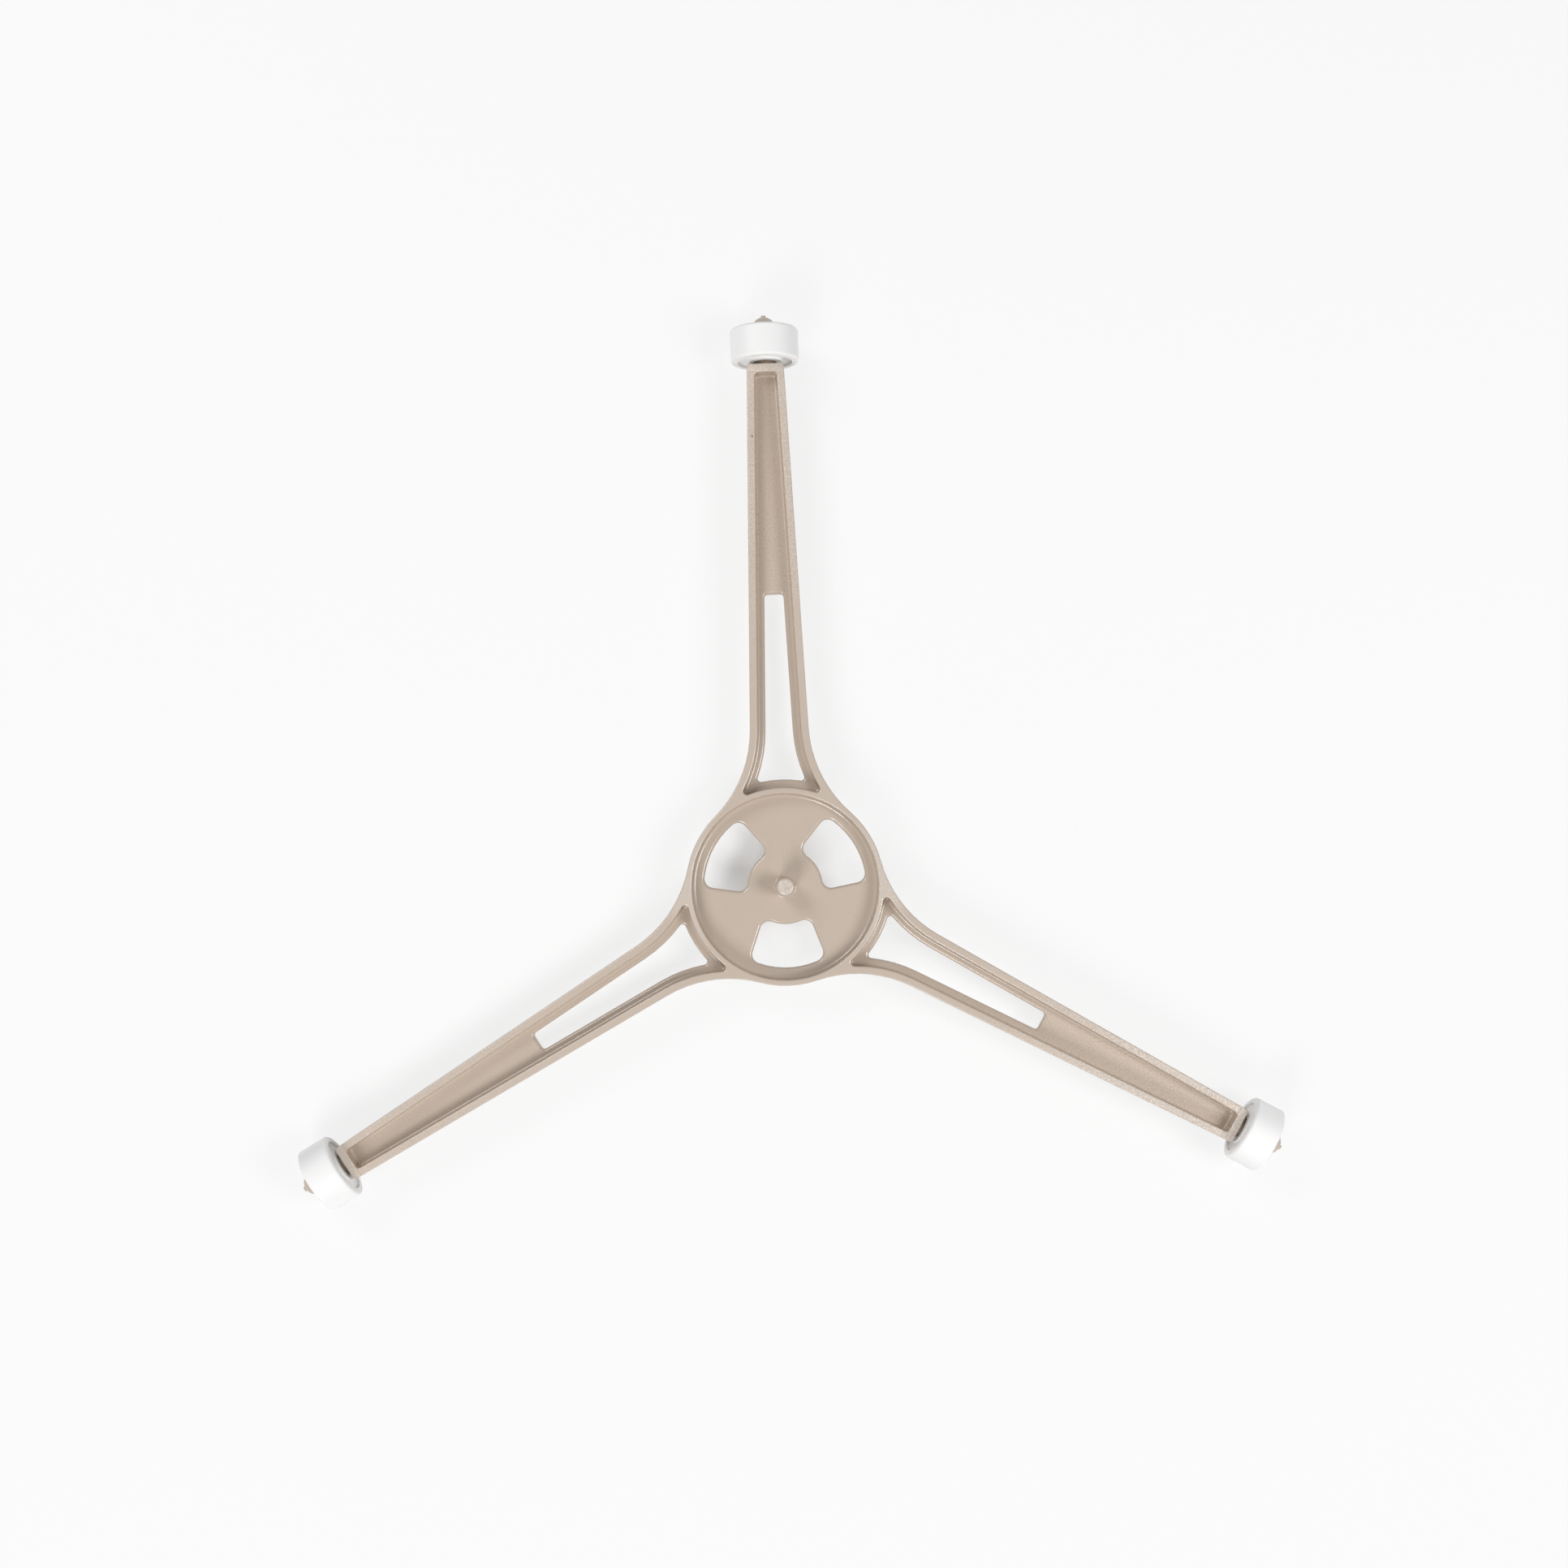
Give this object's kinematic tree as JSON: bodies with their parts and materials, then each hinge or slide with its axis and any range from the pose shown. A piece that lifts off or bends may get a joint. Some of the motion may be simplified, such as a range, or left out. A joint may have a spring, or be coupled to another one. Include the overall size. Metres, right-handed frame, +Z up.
{
  "type": "microwave roller ring",
  "caption": "Flat moulded spider with a dished hub, an upright pivot pin and slotted channel arms, each ending in a free-turning roller wheel that carries a microwave's glass tray.",
  "frame": {"origin": "on the hub's axis, on the floor of the hub's dish, at the foot of the pivot pin", "axes": "+Z up along the hub's axis, the way the pin points; +Y along the first arm"},
  "size_m": [0.2042, 0.1799, 0.014],
  "materials": {
    "carrier_plastic": "moulded beige plastic, satin",
    "wheel_plastic": "moulded white plastic, satin"
  },
  "bodies": {
    "carrier": {"carrier": "carrier_plastic"},
    "wheel_1": {"wheel_1": "wheel_plastic"},
    "wheel_2": {"wheel_2": "wheel_plastic"},
    "wheel_3": {"wheel_3": "wheel_plastic"}
  },
  "joints": [
    {"name": "wheel_1_spin", "type": "hinge", "parent": "carrier", "child": "wheel_1", "pos_m": [0, 0.1108, 0.00045], "axis": [0, 1, 0], "continuous": true},
    {"name": "wheel_2_spin", "type": "hinge", "parent": "carrier", "child": "wheel_2", "pos_m": [-0.09596, -0.0554, 0.00045], "axis": [-0.866, -0.5, 0], "continuous": true},
    {"name": "wheel_3_spin", "type": "hinge", "parent": "carrier", "child": "wheel_3", "pos_m": [0.09596, -0.0554, 0.00045], "axis": [0.866, -0.5, 0], "continuous": true}
  ]
}
